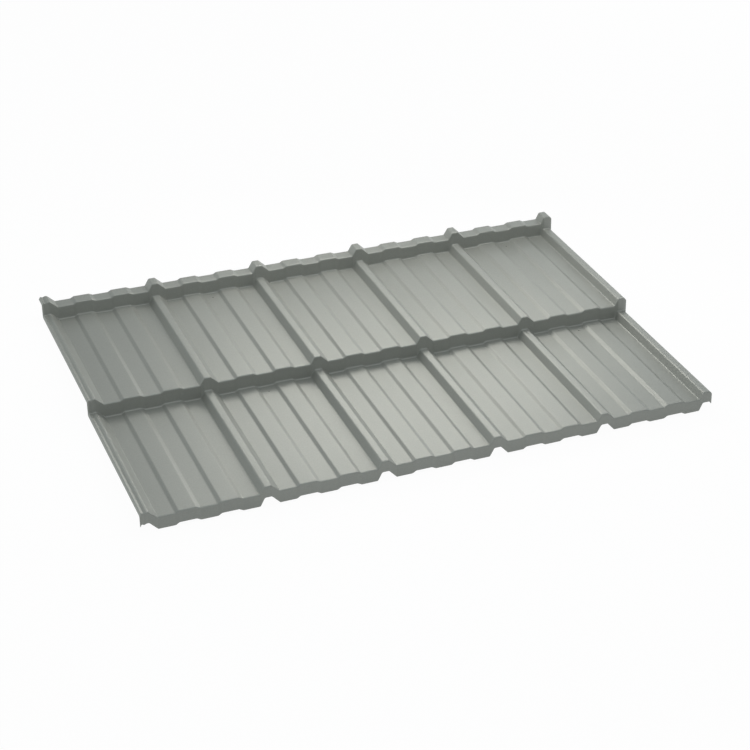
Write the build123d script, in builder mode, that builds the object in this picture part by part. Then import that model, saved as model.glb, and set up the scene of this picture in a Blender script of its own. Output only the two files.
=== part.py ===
# Stepped, ribbed roofing sheet pressed from one blank of coated steel, in millimetres.
# +X runs across the ribs, +Y towards the upper end on the roof, +Z up from the floor it lies on.
import os
from collections import namedtuple
from math import atan2, cos, sin, tan

from build123d import *

# Stock
sheet_thickness = 0.5

# Cross section: ribs at an even pitch, with flat pans between them
pan_count = 5
rib_pitch = 230.0
rib_height = 16.0
rib_crest_width = 13.5
rib_left_run = 8.0
rib_right_run = 16.6
crest_radius = 4.0

# Two shallow stiffening beads stand in each pan, with equal flats beside and between them
beads_per_pan = 2
bead_height = 4.2
bead_crest_width = 32.6
bead_left_run = 6.4
bead_right_run = 8.0

# Left side lap: a water groove in the first crest, which ends in a short turned-down lip
groove_depth = 1.9
groove_left_run = 4.8
groove_right_run = 4.5
left_lip_run = 3.0
left_lip_drop = 5.4

# Right side lap: the last rib is steeper and wider, to cover the next sheet's first rib, and its
# outer flank is cut off as a short lip
last_rib_left_run = 6.0
last_crest_width = 14.5
right_lip_run = 5.5

# Pressed rows: each pan falls towards its upper end and meets the next row at a riser
row_count = 2
row_length = 350.0
step_height = 28.0
riser_run = 5.2
nose_radius = 3.0
toe_radius = 3.0
upper_ledge = 25.5

# The front lip hangs from the first nose and is drawn up under ribs and beads by a share of their height
front_drop = 23.8
lip_rise_share = 0.125

# Small screw holes, punched in the middle flat of some pans just below each riser
screw_hole_diameter = 3.0
screw_hole_setback = 20.0
pans_with_holes = (1, 4)

# Room that the cutting shapes have beyond the sheet
overrun = 12.0
lip_overrun_share = 2.0

# Sizes that follow from those above
bead_width = bead_left_run + bead_crest_width + bead_right_run
pan_width = rib_pitch - rib_left_run - rib_crest_width - rib_right_run
flat_width = (pan_width - beads_per_pan * bead_width) / (beads_per_pan + 1)
first_crest_left = -rib_right_run - rib_crest_width
last_rib_left = (pan_count - 1) * rib_pitch + pan_width
last_crest_right = last_rib_left + last_rib_left_run + last_crest_width
right_lip_drop = right_lip_run * rib_height / rib_right_run
sheet_left = first_crest_left - left_lip_run
sheet_right = last_crest_right + right_lip_run
pan_fall = step_height / (row_length - riser_run)
riser_lean = riser_run / step_height
sheet_front = -front_drop * riser_lean
sheet_back = row_count * row_length + upper_ledge
upper_floor = -step_height - front_drop - overrun
lower_floor = upper_floor - overrun

# A corner of a bent line. Where flat is set, its bend is one narrow flat in place of an arc.
Corner = namedtuple("Corner", "along height radius flat", defaults=(0, False))


def rib_line(lip_share):
    """Cross section of the upper skin from left to right, with each side lip lip_share times its own length."""
    line = [
        Corner(first_crest_left - lip_share * left_lip_run, rib_height - lip_share * left_lip_drop),
        Corner(first_crest_left, rib_height),
        Corner(first_crest_left + groove_left_run, rib_height - groove_depth),
        Corner(first_crest_left + groove_left_run + groove_right_run, rib_height),
        Corner(-rib_right_run, rib_height, crest_radius, flat=True),
    ]
    for pan in range(pan_count):
        x = pan * rib_pitch
        line.append(Corner(x, 0))
        for _ in range(beads_per_pan):
            bead_left = x + flat_width
            x = bead_left + bead_width
            line.append(Corner(bead_left, 0))
            line.append(Corner(bead_left + bead_left_run, bead_height))
            line.append(Corner(x - bead_right_run, bead_height))
            line.append(Corner(x, 0))
        rib_left = x + flat_width
        is_last = pan == pan_count - 1
        crest_left = rib_left + (last_rib_left_run if is_last else rib_left_run)
        crest_right = crest_left + (last_crest_width if is_last else rib_crest_width)
        line.append(Corner(rib_left, 0))
        line.append(Corner(crest_left, rib_height, crest_radius, flat=True))
        line.append(Corner(crest_right, rib_height, crest_radius, flat=True))
    line.append(Corner(last_crest_right + lip_share * right_lip_run, rib_height - lip_share * right_lip_drop))
    return line


def step_line(front_reach, back_reach):
    """Lengthwise section of the upper skin from front to back, run on past its ends by the two reaches."""
    line = [Corner(sheet_front - front_reach * riser_lean, -front_drop - front_reach)]
    for row in range(row_count):
        line.append(Corner(row * row_length, 0, nose_radius))
        line.append(Corner((row + 1) * row_length - riser_run, -step_height, toe_radius, flat=True))
    line.append(Corner(row_count * row_length, 0, nose_radius))
    line.append(Corner(sheet_back + back_reach, -(upper_ledge + back_reach) * pan_fall))
    return line


def headings(line):
    """Direction of each straight run of the bent line, as an angle above level."""
    return [atan2(b.height - a.height, b.along - a.along) for a, b in zip(line, line[1:])]


def flattened(line):
    """The bent line with each flat bend cut straight across, between the two ends of its arc."""
    angles = headings(line)
    plain = line[:1]
    for corner, into, out in zip(line[1:-1], angles, angles[1:]):
        if corner.flat:
            reach = corner.radius * tan(abs(out - into) / 2)
            plain.append(Corner(corner.along - reach * cos(into), corner.height - reach * sin(into)))
            plain.append(Corner(corner.along + reach * cos(out), corner.height + reach * sin(out)))
        else:
            plain.append(corner)
    return plain + line[-1:]


def skin_below(line, depth):
    """The bent line moved down by depth, square to each straight run, with its bends kept concentric."""
    angles = headings(line)
    moved = []
    for corner, into, out in zip(line, angles[:1] + angles, angles + angles[-1:]):
        middle = (into + out) / 2
        miter = depth / cos((out - into) / 2)
        bend = corner.radius + (depth if out > into else -depth) if corner.radius else 0
        moved.append(Corner(corner.along + miter * sin(middle), corner.height - miter * cos(middle), bend))
    return moved


def led_in(line, length):
    """The bent line with a level run put in front, so that a section can start square to it."""
    return [line[0]._replace(along=line[0].along - length)] + line


def bent_line(line):
    """Straight runs joined by tangent bends."""
    spots = [(corner.along, corner.height) for corner in line]
    return FilletPolyline(*spots, radius=[corner.radius for corner in line[1:-1]])


def rib_path(ribs):
    """Wire of a rib line, for a section to travel along."""
    with BuildLine(Plane.XZ) as path:
        bent_line(ribs)
    return path.wires()[0]


def start_plane(ribs):
    """Plane across the start of a rib line, with its own x along the sheet."""
    return Plane((ribs[0].along, 0, ribs[0].height), x_dir=(0, 1, 0), z_dir=(1, 0, 0))


def section_below(ribs, step, floor):
    """Face between a step line and a level floor, at the start of a rib line."""
    front, back = step[0], step[-1]
    with BuildSketch(start_plane(ribs)) as section:
        with BuildLine():
            bent_line(step)
            Polyline(
                (back.along, back.height),
                (back.along, floor),
                (front.along, floor),
                (front.along, front.height),
            )
        make_face()
    return section.sketch.faces()[0]


# The upper skin is the step line carried along the rib line. The lower skin uses both lines moved in by
# the thickness, and its step line is raised again because its rib line already lies that much lower.
skin_ribs = flattened(rib_line(lip_overrun_share))
upper_ribs = led_in(skin_ribs, overrun)
lower_ribs = led_in(skin_below(skin_ribs, sheet_thickness), 2 * overrun)
upper_step = flattened(step_line(overrun, 0))
lower_step = [
    corner._replace(height=corner.height + sheet_thickness)
    for corner in skin_below(flattened(step_line(2 * overrun, overrun)), sheet_thickness)
]

# The shear that trims the front lip follows the ribs, a little higher under each
trim_ribs = [corner._replace(height=corner.height * (1 + lip_rise_share)) for corner in upper_ribs]
trim_depth = 4 * overrun
with BuildSketch(start_plane(trim_ribs)) as trim:
    with Locations((sheet_front, -front_drop - trim_depth / 2)):
        Rectangle(2 * overrun, trim_depth)

with BuildPart() as pressed_sheet:
    upper_section = section_below(upper_ribs, upper_step, upper_floor)
    sweep(upper_section, path=rib_path(upper_ribs), normal=(1, 0, 0), clean=False)
    lower_section = section_below(lower_ribs, lower_step, lower_floor)
    sweep(lower_section, path=rib_path(lower_ribs), normal=(1, 0, 0), clean=False, mode=Mode.SUBTRACT)
    trim_section = trim.sketch.faces()[0]
    sweep(trim_section, path=rib_path(trim_ribs), normal=(1, 0, 0), clean=False, mode=Mode.SUBTRACT)

    # Both side lips end in a plain upright cut
    blank = pressed_sheet.part.bounding_box()
    with Locations(((sheet_left + sheet_right) / 2, blank.center().Y, blank.center().Z)):
        Box(sheet_right - sheet_left, blank.size.Y + overrun, blank.size.Z + overrun, mode=Mode.INTERSECT)

    # Screw holes in the middle flat of a pan
    hole_across = flat_width + bead_width + flat_width / 2
    with Locations(
        *[
            (pan * rib_pitch + hole_across, (row + 1) * row_length - riser_run - screw_hole_setback, -step_height)
            for pan in pans_with_holes
            for row in range(row_count)
        ]
    ):
        Cylinder(screw_hole_diameter / 2, 2 * overrun, mode=Mode.SUBTRACT)

# The sheet lies on the toes of its risers, centred over the origin
lying = pressed_sheet.part.bounding_box()
with BuildPart() as roof_sheet:
    with Locations((-lying.center().X, -lying.center().Y, -lying.min.Z)):
        add(pressed_sheet.part)
roof_sheet.part.label = "roof_sheet"

os.makedirs("parts", exist_ok=True)
export_step(roof_sheet.part, "parts/roof_sheet.step")
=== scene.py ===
# %% [markdown]
# # A stepped roofing sheet
# One blank of coated steel, 0.5 mm thick, is pressed into ribs that run up the roof and into steps that run
# across it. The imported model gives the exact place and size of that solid, so it is loaded first and its
# box is kept: nothing that is made below may leave it.

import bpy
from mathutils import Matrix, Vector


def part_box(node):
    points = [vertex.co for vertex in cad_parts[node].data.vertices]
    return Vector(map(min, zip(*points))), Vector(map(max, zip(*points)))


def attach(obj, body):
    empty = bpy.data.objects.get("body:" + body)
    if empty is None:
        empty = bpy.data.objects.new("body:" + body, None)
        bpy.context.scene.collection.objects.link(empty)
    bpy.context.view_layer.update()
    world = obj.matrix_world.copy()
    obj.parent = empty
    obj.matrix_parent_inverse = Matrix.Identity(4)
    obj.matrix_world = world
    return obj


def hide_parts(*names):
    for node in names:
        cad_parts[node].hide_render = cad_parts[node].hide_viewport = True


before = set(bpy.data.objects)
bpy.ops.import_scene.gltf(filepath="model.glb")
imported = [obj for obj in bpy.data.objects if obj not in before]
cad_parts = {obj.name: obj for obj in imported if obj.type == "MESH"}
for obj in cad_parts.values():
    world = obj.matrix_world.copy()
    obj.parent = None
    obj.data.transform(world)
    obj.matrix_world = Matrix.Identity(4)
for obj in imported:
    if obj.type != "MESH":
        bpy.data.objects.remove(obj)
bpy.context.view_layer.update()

from math import atan2, ceil, cos, degrees, pi, radians, sin, tan

import bpy
import numpy as np
from mathutils import Matrix, Vector

# %% [markdown]
# ## Sizes
# The solid has sharp creases along its ribs. On the real sheet each of them is a bend with a small radius,
# and a bend is what catches the light, so the visible sheet is made again from the same sizes with every
# bend rounded. All lengths are in metres, and the prints give millimetres.

# %% Name the sizes of the sheet
mm_per_metre = 1000

thickness = 0.0005

pan_count = 5
rib_pitch = 0.230
rib_height = 0.016
rib_crest_width = 0.0135
rib_left_run = 0.008
rib_right_run = 0.0166

beads_per_pan = 2
bead_height = 0.0042
bead_crest_width = 0.0326
bead_left_run = 0.0064
bead_right_run = 0.008

groove_depth = 0.0019
groove_left_run = 0.0048
groove_right_run = 0.0045
left_lip_run = 0.003
left_lip_drop = 0.0054
last_rib_left_run = 0.006
last_crest_width = 0.0145
right_lip_run = 0.0055
right_lip_drop = right_lip_run * rib_height / rib_right_run

row_count = 2
row_length = 0.350
step_height = 0.028
riser_run = 0.0052
upper_ledge = 0.0255
front_drop = 0.0238
lip_rise_share = 0.125

nose_radius = 0.003
toe_radius = 0.003
crest_radius = 0.004
foot_radius = 0.0025
bead_radius = 0.006
lip_radius = 0.0012
groove_radius = 0.0015

bead_width = bead_left_run + bead_crest_width + bead_right_run
pan_width = rib_pitch - rib_left_run - rib_crest_width - rib_right_run
flats_per_pan = beads_per_pan + 1
flat_width = (pan_width - beads_per_pan * bead_width) / flats_per_pan
flat_mm = flat_width * mm_per_metre
print(f"each pan has {beads_per_pan} beads and {flats_per_pan} flats of {flat_mm:.1f} mm")

# %% [markdown]
# ## Bent lines
# A section of bent sheet is a chain of straight runs with a round bend at each corner. Blender's Bevel
# modifier could round the creases afterwards, but where a rib crosses a step it has to guess. Working the
# bends out in the line itself keeps them exact, and it also gives the slope at each point, which is needed
# for the thickness.

# %% Turn corners into runs and bends
bend_step = radians(9)
fewest_turns = 2


def bent(corners):
    """Points and slopes along (along, height, radius) corners, each bend divided into equal turns."""
    spots = np.array([corner[:2] for corner in corners])
    headings = [atan2(rise, run) for run, rise in np.diff(spots, axis=0)]
    points = [(*spots[0], headings[0])]
    for (along, height, radius), into, out in zip(corners[1:-1], headings, headings[1:]):
        turn = out - into
        reach = radius * abs(tan(turn / 2))
        start = np.array([along - reach * cos(into), height - reach * sin(into)])
        side = 1 if turn > 0 else -1
        centre = start + side * radius * np.array([-sin(into), cos(into)])
        turns = max(fewest_turns, ceil(abs(turn) / bend_step))
        for heading in np.linspace(into, out, turns + 1):
            arm = side * radius * np.array([sin(heading), -cos(heading)])
            points.append((*(centre + arm), heading))
    points.append((*spots[-1], headings[-1]))
    return np.array(points)


print(f"bends turn by at most {degrees(bend_step):.0f} degrees at a time")

# %% [markdown]
# ## The section across
# Across the sheet lie five pans, each with two shallow beads, and a rib between them. The first rib has a
# groove that stops creeping water and a small lip, and the last rib is steeper, so that it covers the next
# sheet's first one. A loop lays out the pans, because they differ only at the two sides.

# %% Lay out the section across the ribs
first_crest_left = -rib_right_run - rib_crest_width
across = [
    (first_crest_left - left_lip_run, rib_height - left_lip_drop, 0),
    (first_crest_left, rib_height, lip_radius),
    (first_crest_left + groove_left_run, rib_height - groove_depth, groove_radius),
    (first_crest_left + groove_left_run + groove_right_run, rib_height, groove_radius),
    (-rib_right_run, rib_height, crest_radius),
]
for pan in range(pan_count):
    x = pan * rib_pitch
    across.append((x, 0, foot_radius))
    for _ in range(beads_per_pan):
        left = x + flat_width
        x = left + bead_width
        across.append((left, 0, bead_radius))
        across.append((left + bead_left_run, bead_height, bead_radius))
        across.append((x - bead_right_run, bead_height, bead_radius))
        across.append((x, 0, bead_radius))
    rib_left = x + flat_width
    is_last = pan == pan_count - 1
    crest_left = rib_left + (last_rib_left_run if is_last else rib_left_run)
    crest_right = crest_left + (last_crest_width if is_last else rib_crest_width)
    across.append((rib_left, 0, foot_radius))
    across.append((crest_left, rib_height, crest_radius))
    across.append((crest_right, rib_height, crest_radius))
across.append((crest_right + right_lip_run, rib_height - right_lip_drop, 0))
across = bent(across)
print(f"section across: {len(across)} points over {np.ptp(across[:, 0]) * mm_per_metre:.1f} mm")

# %% [markdown]
# ## The section along
# Along the sheet each pan falls gently towards its upper end and then climbs a riser to the next row's
# nose. The front lip hangs from the first nose with the same lean as the risers, and a short ledge follows
# the last nose. It could be drawn as a curve object, but the same bent line serves for both sections.

# %% Lay out the section along the rows
riser_lean = riser_run / step_height
pan_fall = step_height / (row_length - riser_run)
along = [(-front_drop * riser_lean, -front_drop, 0)]
for row in range(row_count):
    along.append((row * row_length, 0, nose_radius))
    along.append(((row + 1) * row_length - riser_run, -step_height, toe_radius))
along.append((row_count * row_length, 0, nose_radius))
along.append((row_count * row_length + upper_ledge, -upper_ledge * pan_fall, 0))
along = bent(along)
print(f"section along: {len(along)} points over {np.ptp(along[:, 0]) * mm_per_metre:.1f} mm")

# %% [markdown]
# ## Carrying one section along the other
# The press shifts the whole ribbed section up and down along the step line without turning it, so a point
# of the skin is simply the sum of the two heights. Only the edge of the front lip differs: it is drawn up a
# little under the ribs. The slopes of both lines give the direction square to the skin, and the underside
# lies one sheet thickness away in that direction. A Solidify modifier would do nearly the same, but it
# knows the slopes only from the faces.

# %% Work out both skins
height = across[:, None, 1] + along[None, :, 1]
upper = np.stack(np.broadcast_arrays(across[:, None, 0], along[None, :, 0], height), axis=-1)
lip_rise = lip_rise_share * across[:, 1]
upper[:, 0, 1] += lip_rise * riser_lean
upper[:, 0, 2] += lip_rise
lean_across = -np.tan(across[:, None, 2])
lean_along = -np.tan(along[None, :, 2])
square = np.stack(np.broadcast_arrays(lean_across, lean_along, np.ones_like(height)), axis=-1)
square /= np.linalg.norm(square, axis=-1, keepdims=True)
lower = upper - thickness * square

low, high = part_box("roof_sheet")
made_corner = np.array([upper[..., 0].min(), upper[..., 1].max(), upper[..., 2].max()])
place = np.array([low.x, high.y, high.z]) - made_corner
upper, lower = upper + place, lower + place
high_mm = np.ptp(upper[..., 2]) * mm_per_metre
lowest_mm = lower[..., 2].min() * mm_per_metre
print(f"the sheet is {high_mm:.1f} mm high, its lowest point is {lowest_mm:.2f} mm")

# %% [markdown]
# ## One closed mesh
# A sheet of steel has a face, a back and a thin cut edge all round. Both skins are grids of quads with the
# same corners, so a narrow strip round the rim closes them into one body. Each face gets the number of its
# finish here, because only here is it known which side it belongs to.

# %% Join the skins into one closed mesh
WEATHER, BACK, CUT = range(3)
columns, lines = height.shape
top = np.arange(columns * lines).reshape(columns, lines)
under = top + top.size


def strip(a, b):
    """One row of quads between two equally long chains of corners."""
    return np.stack([a[:-1], a[1:], b[1:], b[:-1]], axis=-1).reshape(-1, 4)


def patch(grid):
    """All the quads of a grid of corners."""
    quads = [grid[:-1, :-1], grid[1:, :-1], grid[1:, 1:], grid[:-1, 1:]]
    return np.stack(quads, axis=-1).reshape(-1, 4)


rim = [
    strip(under[:, 0], top[:, 0]),
    strip(under[-1], top[-1]),
    strip(top[:, -1], under[:, -1]),
    strip(top[0], under[0]),
]
faces = [patch(top), patch(under)[:, ::-1], np.concatenate(rim)]
corners = np.concatenate([upper.reshape(-1, 3), lower.reshape(-1, 3)])
mesh = bpy.data.meshes.new("pressed_sheet")
mesh.from_pydata(corners.tolist(), [], np.concatenate(faces).tolist())
finish_numbers = np.repeat([WEATHER, BACK, CUT], [len(part) for part in faces])
mesh.polygons.foreach_set("material_index", finish_numbers)
mesh.validate()
sheet = bpy.data.objects.new("pressed_sheet", mesh)
bpy.context.scene.collection.objects.link(sheet)
print(f"{len(mesh.polygons)} quads")

# %% [markdown]
# ## Screw holes
# Small round holes are punched in the middle flat of the second and the last pan, a little in front of each
# riser's foot. A Boolean modifier cuts them like a punch does: one cutter holds a short rod for every hole.

# %% Punch the holes
hole_diameter = 0.003
hole_setback = 0.020
pans_with_holes = (1, 4)
hole_sides = 24
punch_length = 0.012

rods, rod_faces, hole_spots = [], [], []
turns = np.linspace(0, 2 * pi, hole_sides, endpoint=False)
ring = hole_diameter / 2 * np.stack([np.cos(turns), np.sin(turns)], axis=-1)
for pan in pans_with_holes:
    for row in range(row_count):
        x = place[0] + pan * rib_pitch + flat_width + bead_width + flat_width / 2
        y = place[1] + (row + 1) * row_length - riser_run - hole_setback
        z = place[2] - step_height + hole_setback * pan_fall
        hole_spots.append((x, y, 0))
        first = len(rods)
        for end in (-punch_length / 2, punch_length / 2):
            rods += [(x + dx, y + dy, z + end) for dx, dy in ring]
        bottom = list(range(first, first + hole_sides))
        upper_end = [corner + hole_sides for corner in bottom]
        rod_faces += [bottom[::-1], upper_end]
        rod_faces += strip(np.array(bottom + bottom[:1]), np.array(upper_end + upper_end[:1])).tolist()
punch_mesh = bpy.data.meshes.new("punch")
punch_mesh.from_pydata(rods, [], rod_faces)
punch_mesh.polygons.foreach_set("material_index", [CUT] * len(rod_faces))
punch = bpy.data.objects.new("punch", punch_mesh)
bpy.context.scene.collection.objects.link(punch)
print(f"{len(hole_spots)} holes of {hole_diameter * mm_per_metre:.0f} mm")

# %% [markdown]
# ## Shader sums
# A finish is a chain of small sums: a noise, scaled, added to a colour. Written with node calls those sums
# are hard to read, so one small class wraps a socket and lets Python's own signs add the Math nodes.

# %% Wrap a socket


class Socket:
    """An output of a shader node. Sums, differences and products of it with others are Math nodes."""

    def __init__(self, tree, output=None):
        self.tree, self.output = tree, output

    def node(self, kind, settings=None, sockets=None, output=0):
        """A new node: its settings come first, then the values and links of its sockets."""
        made = self.tree.nodes.new(kind)
        for name, value in (settings or {}).items():
            setattr(made, name, value)
        for name, value in (sockets or {}).items():
            if isinstance(value, Socket):
                self.tree.links.new(value.output, made.inputs[name])
            else:
                made.inputs[name].default_value = value
        return Socket(self.tree, made.outputs[output] if made.outputs else None)

    def math(self, operation, first, second):
        return self.node("ShaderNodeMath", {"operation": operation}, {0: first, 1: second})

    def __add__(self, other):
        return self.math("ADD", self, other)

    def __sub__(self, other):
        return self.math("SUBTRACT", self, other)

    def __mul__(self, other):
        return self.math("MULTIPLY", self, other)

    def __rsub__(self, other):
        return self.math("SUBTRACT", other, self)

    __radd__ = __add__
    __rmul__ = __mul__


print("sockets can be added, subtracted and multiplied")

# %% [markdown]
# ## Helpers for the finishes
# Every finish below starts from an empty node tree, and its paint varies by soft noise between two colours.
# Noise is worked out from the place on the sheet, so no picture has to be wrapped round it. The Mix node
# has a set of sockets for each kind of value, and those for colour are picked by their numbers.

# %% Make the helpers
MIX_FACTOR, MIX_FIRST, MIX_SECOND = 0, 6, 7
MIX_RESULT = 2
noise_middle = 0.5


def new_finish(name):
    """An empty node material and a start for its nodes."""
    material = bpy.data.materials.new(name)
    material.use_nodes = True
    material.node_tree.nodes.clear()
    return material, Socket(material.node_tree)


def noise(start, where, size, detail=2.0, stretch=(1, 1, 1)):
    """Soft noise from 0 to 1 whose lumps are about size metres across, drawn out by stretch."""
    pressed = [1 / s for s in stretch]
    scaled = start.node("ShaderNodeVectorMath", {"operation": "MULTIPLY"}, {0: where, 1: pressed})
    return start.node("ShaderNodeTexNoise", None, {"Vector": scaled, "Scale": 1 / size, "Detail": detail})


def mixed(start, factor, first, second):
    """A colour between first and second, at factor from 0 to 1."""
    settings = {"data_type": "RGBA", "clamp_factor": True}
    sockets = {MIX_FACTOR: factor, MIX_FIRST: first, MIX_SECOND: second}
    return start.node("ShaderNodeMix", settings, sockets, output=MIX_RESULT)


print("helpers for finishes, noise and mixed colours")

# %% [markdown]
# ## The coating on the weather side
# The sheet is cut from coil that was painted before it was pressed. The paint is a satin grey with a little
# green in it and with fine metal flake, so it shines like dull metal. It has a fine grain, faint streaks
# along the coil from the paint roller, and very slow changes of tone, here called clouds. One Principled
# shader carries all of it: the grain is a bump, streaks and clouds change the roughness, and all three
# change the colour by a few percent only.

# %% Paint the weather side
grain_size = 0.0022
grain_detail = 3.0
grain_tone = 1.8
grain_strength = 0.12
grain_depth = 0.0002
streak_width = 0.004
streak_stretch = (1, 60, 1)
streak_tone = 0.35
streak_roughness = 0.08
cloud_size = 0.12
cloud_tone = 0.5
cloud_roughness = 0.06
paint_dark = (0.286, 0.295, 0.266, 1)
paint_light = (0.326, 0.335, 0.303, 1)
paint_roughness = 0.50
paint_flake = 0.45


def weather_coat():
    material, start = new_finish("weather_coat")
    where = start.node("ShaderNodeTexCoord", output="Object")
    grain = noise(start, where, grain_size, detail=grain_detail)
    streaks = noise(start, where, streak_width, stretch=streak_stretch)
    clouds = noise(start, where, cloud_size)
    tone = noise_middle + (grain - noise_middle) * grain_tone
    tone = tone + (streaks - noise_middle) * streak_tone + (clouds - noise_middle) * cloud_tone
    colour = mixed(start, tone, paint_dark, paint_light)
    roughness = paint_roughness + (streaks - noise_middle) * streak_roughness
    roughness = roughness + (clouds - noise_middle) * cloud_roughness
    bump_sockets = {"Height": grain, "Strength": grain_strength, "Distance": grain_depth}
    bump = start.node("ShaderNodeBump", None, bump_sockets)
    paint_sockets = {"Base Color": colour, "Metallic": paint_flake, "Roughness": roughness, "Normal": bump}
    paint = start.node("ShaderNodeBsdfPrincipled", None, paint_sockets)
    start.node("ShaderNodeOutputMaterial", None, {"Surface": paint})
    return material


weather = weather_coat()
print(f"{weather.name}: {len(weather.node_tree.nodes)} nodes")

# %% [markdown]
# ## The underside
# The back of coil-coated sheet gets one thin coat of pale primer, duller and less even than the face. It
# has broader streaks and no flake, so the shader stays without any metal.

# %% Prime the back
back_streak_width = 0.006
back_streak_detail = 4.0
back_streak_stretch = (1, 40, 1)
back_streak_tone = 0.8
back_cloud_size = 0.09
back_cloud_detail = 3.0
back_cloud_tone = 0.6
back_cloud_roughness = 0.12
primer_dark = (0.40, 0.41, 0.39, 1)
primer_light = (0.47, 0.48, 0.46, 1)
primer_roughness = 0.62


def backing_coat():
    material, start = new_finish("backing_coat")
    where = start.node("ShaderNodeTexCoord", output="Object")
    streaks = noise(start, where, back_streak_width, back_streak_detail, back_streak_stretch)
    clouds = noise(start, where, back_cloud_size, back_cloud_detail)
    tone = noise_middle + (streaks - noise_middle) * back_streak_tone
    tone = tone + (clouds - noise_middle) * back_cloud_tone
    colour = mixed(start, tone, primer_dark, primer_light)
    roughness = primer_roughness + (clouds - noise_middle) * back_cloud_roughness
    paint = start.node("ShaderNodeBsdfPrincipled", None, {"Base Color": colour, "Roughness": roughness})
    start.node("ShaderNodeOutputMaterial", None, {"Surface": paint})
    return material


backing = backing_coat()
print(f"{backing.name}: {len(backing.node_tree.nodes)} nodes")

# %% [markdown]
# ## The cut edges
# Where the sheet was sheared or punched the coats end, and the zinc and steel of the core show as a thin
# grey line. It is torn rather than cut, so a very fine noise changes both its colour and its shine.

# %% Bare the edges
tear_size = 0.0008
tear_detail = 4.0
tear_roughness = 0.3
core_dark = (0.30, 0.31, 0.30, 1)
core_light = (0.44, 0.45, 0.45, 1)
core_roughness = 0.45
core_metal = 0.7


def sheared_edge():
    material, start = new_finish("sheared_edge")
    where = start.node("ShaderNodeTexCoord", output="Object")
    tears = noise(start, where, tear_size, detail=tear_detail)
    colour = mixed(start, tears, core_dark, core_light)
    roughness = core_roughness + (tears - noise_middle) * tear_roughness
    core_sockets = {"Base Color": colour, "Roughness": roughness, "Metallic": core_metal}
    metal = start.node("ShaderNodeBsdfPrincipled", None, core_sockets)
    start.node("ShaderNodeOutputMaterial", None, {"Surface": metal})
    return material


edge = sheared_edge()
print(f"{edge.name}: {len(edge.node_tree.nodes)} nodes")

# %% [markdown]
# ## Dressing the sheet
# The materials take the slots in the order of the face numbers given above. The holes are cut now, so that
# their walls get the bare edge. Shading is smooth over the bends and breaks at the rim, and the Weighted
# Normal modifier keeps the flats truly flat: without it the shading of each bend would bleed into the pan
# beside it.

# %% Give the sheet its finishes
for finish in (weather, backing, edge):
    mesh.materials.append(finish)
cut = sheet.modifiers.new("punched_holes", "BOOLEAN")
cut.object = punch
cut.solver = "EXACT"
cut_mesh = bpy.data.meshes.new_from_object(sheet.evaluated_get(bpy.context.evaluated_depsgraph_get()))
sheet.modifiers.clear()
sheet.data = cut_mesh
cut_mesh.name = "pressed_sheet"
bpy.data.objects.remove(punch)
bpy.data.meshes.remove(mesh)

sharp_turn = radians(35)
cut_mesh.shade_smooth()
cut_mesh.set_sharp_from_angle(angle=sharp_turn)
even = sheet.modifiers.new("flat_pans", "WEIGHTED_NORMAL")
even.keep_sharp = True
even.weight = 100
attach(sheet, "root")
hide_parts("roof_sheet")
print(f"{len(cut_mesh.polygons)} faces with {len(cut_mesh.materials)} finishes")

# %% [markdown]
# ## Floor
# The sheet lies on a plain white floor. For the camera the floor shows nearly white, in reflections it is
# less bright, and what is left of its share takes light and shadow like any matt surface, so the sheet
# keeps a faint soft shadow. Under each screw hole a dark spot is painted on the floor. This is painted
# shade: it stands in for the shade under the sheet that the hole lets one see. From below the floor is
# clear, so that the underside can be looked at.

# %% Lay the floor
floor_half = 12.0
floor_gap = 0.0002
floor_signs = ((-1, -1), (1, -1), (1, 1), (-1, 1))

floor_mesh = bpy.data.meshes.new("floor")
floor_corners = [(x * floor_half, y * floor_half, -floor_gap) for x, y in floor_signs]
floor_mesh.from_pydata(floor_corners, [], [(0, 1, 2, 3)])
floor = bpy.data.objects.new("floor", floor_mesh)
bpy.context.scene.collection.objects.link(floor)
print(f"a floor {2 * floor_half:.0f} m wide")

# %% [markdown]
# ## Floor paint
# The four holes stand at the corners of a rectangle. Measured from its middle, each hole is as far away as
# the others, so one distance along each axis finds all four of them. Light Path tells the shader what kind
# of ray is looking, which gives the white its own share for the camera and for reflections.

# %% Paint the floor
painted_shade_half = 0.010
painted_shade_fade = 0.010
floor_white = 0.965
floor_mirrored = 0.41
# painted shade: a small dark square is painted on the floor under each screw hole
painted_shade_dark = (0.04, 0.04, 0.04, 1)
floor_pale = (0.85, 0.85, 0.85, 1)
pure_white = (1, 1, 1, 1)


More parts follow.
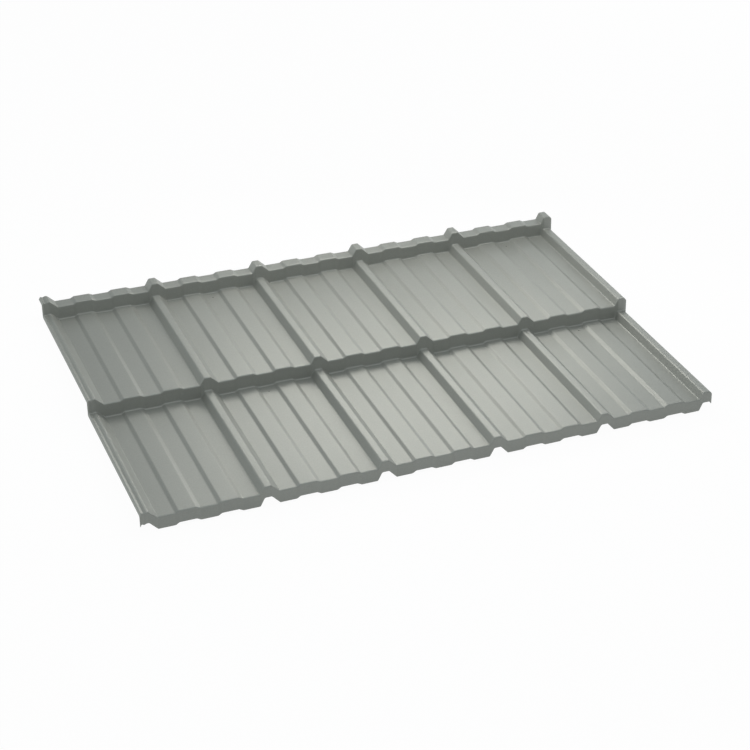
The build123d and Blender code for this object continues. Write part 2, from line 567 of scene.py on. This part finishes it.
def floor_paint():
    material, start = new_finish("floor_paint")
    seen = start.node("ShaderNodeLightPath", output="Is Camera Ray")
    glossy = start.node("ShaderNodeLightPath", output="Is Glossy Ray")
    through = start.node("ShaderNodeLightPath", output="Is Transmission Ray")
    where = start.node("ShaderNodeTexCoord", output="Object")
    middle = np.mean(hole_spots, axis=0)
    from_middle = start.node("ShaderNodeVectorMath", {"operation": "SUBTRACT"}, {0: where, 1: middle})
    beyond = []
    for axis, to_hole in enumerate(np.ptp(hole_spots, axis=0)[:2] / 2):
        part = start.node("ShaderNodeSeparateXYZ", None, {0: from_middle}, axis)
        reach = start.math("ABSOLUTE", part, 0)
        gap = start.math("ABSOLUTE", reach - to_hole, 0)
        limits = {"Value": gap, "From Min": painted_shade_half, "From Max": painted_shade_half + painted_shade_fade}
        beyond.append(start.node("ShaderNodeMapRange", None, limits))
    # 0 in the painted shade under the holes, 1 elsewhere; it also turns off the camera's white there
    outside_painted_shade = start.math("MAXIMUM", *beyond)
    colour = mixed(start, outside_painted_shade, painted_shade_dark, floor_pale)
    matt = start.node("ShaderNodeBsdfDiffuse", None, {"Color": colour})
    white = start.node("ShaderNodeEmission", None, {"Color": pure_white, "Strength": 1.0})
    share = seen * outside_painted_shade * floor_white + (glossy + through) * floor_mirrored
    both = start.node("ShaderNodeMixShader", None, {0: share, 1: matt, 2: white})
    below = start.node("ShaderNodeNewGeometry", output="Backfacing")
    clear = start.node("ShaderNodeBsdfTransparent")
    one_sided = start.node("ShaderNodeMixShader", None, {0: below, 1: both, 2: clear})
    start.node("ShaderNodeOutputMaterial", None, {"Surface": one_sided})
    return material


floor_mesh.materials.append(floor_paint())
print(f"floor painted, with {len(hole_spots)} dark spots")

# %% [markdown]
# ## Light
# Soft studio light. One slightly warm panel hangs low behind the sheet: its broad reflection makes the
# middle of the pans the brightest, and each riser cuts its light off the pan in front. Two low cool panels
# at the sides light the flanks of ribs and beads, and a wide one above and an even surround fill the rest.
# The camera looks through all of them.

# %% Hang the lamps
warm = (1, 0.965, 0.94)
cool = (0.92, 0.965, 1)
surround_level = 0.56
sheet_middle = (0, 0, 0)


def panel(name, spot, aim, size, watts, colour):
    """A soft panel at spot, facing aim, size wide and high. The camera looks through it."""
    lamp = bpy.data.lights.new(name, "AREA")
    lamp.shape = "RECTANGLE"
    lamp.size, lamp.size_y = size
    lamp.energy = watts
    lamp.color = colour
    hung = bpy.data.objects.new(name, lamp)
    hung.location = spot
    hung.rotation_euler = (Vector(aim) - Vector(spot)).to_track_quat("-Z", "Y").to_euler()
    hung.visible_camera = False
    bpy.context.scene.collection.objects.link(hung)


pans_in_front = (-0.04, -0.55, 0.21)
panel("panel_behind", spot=(0.26, 0.45, 0.56), aim=pans_in_front, size=(0.91, 0.30), watts=4.2, colour=warm)
panel("panel_left", spot=(-2.41, 0.88, 0.50), aim=sheet_middle, size=(1.2, 0.9), watts=7.1, colour=cool)
panel("panel_right", spot=(2.10, 1.47, 0.50), aim=sheet_middle, size=(2.2, 0.9), watts=6.8, colour=cool)
panel("panel_above", spot=(0, 0, 2.60), aim=sheet_middle, size=(3.0, 3.0), watts=15.3, colour=cool)
world = bpy.data.worlds.new("surround")
bpy.context.scene.world = world
world.use_nodes = True
surround = Socket(world.node_tree)
world.node_tree.nodes.clear()
surround_sockets = {"Color": (*cool, 1), "Strength": surround_level}
surround_light = surround.node("ShaderNodeBackground", None, surround_sockets)
surround.node("ShaderNodeOutputWorld", None, {"Surface": surround_light})
print("four panels and a surround")

# %% [markdown]
# ## Camera
# The photograph was taken from the front left, about 36 degrees above the floor, with a long lens and a
# slight tilt of the camera. Direction, distance and lens follow from where the creases of the sheet fall in
# it.

# %% Set the camera
aim = Vector((-0.0179, -0.0754, 0.0217))
distance = 3.567
heading, pitch, roll = radians(24.80), radians(35.79), radians(3.99)

sight = Vector((sin(heading) * cos(pitch), cos(heading) * cos(pitch), -sin(pitch)))
level = Vector((cos(heading), -sin(heading), 0))
rise = level.cross(sight)
right = level * cos(roll) + rise * sin(roll)
up = right.cross(sight)

lens = bpy.data.cameras.new("camera")
lens.sensor_width = 36
lens.lens = 86.2
camera = bpy.data.objects.new("camera", lens)
turned = Matrix((right, up, -sight)).transposed().to_4x4()
camera.matrix_world = Matrix.Translation(aim - sight * distance) @ turned
bpy.context.scene.collection.objects.link(camera)
bpy.context.scene.camera = camera
bpy.context.scene.view_settings.view_transform = "Standard"
print("camera at", [round(v, 3) for v in camera.matrix_world.translation])
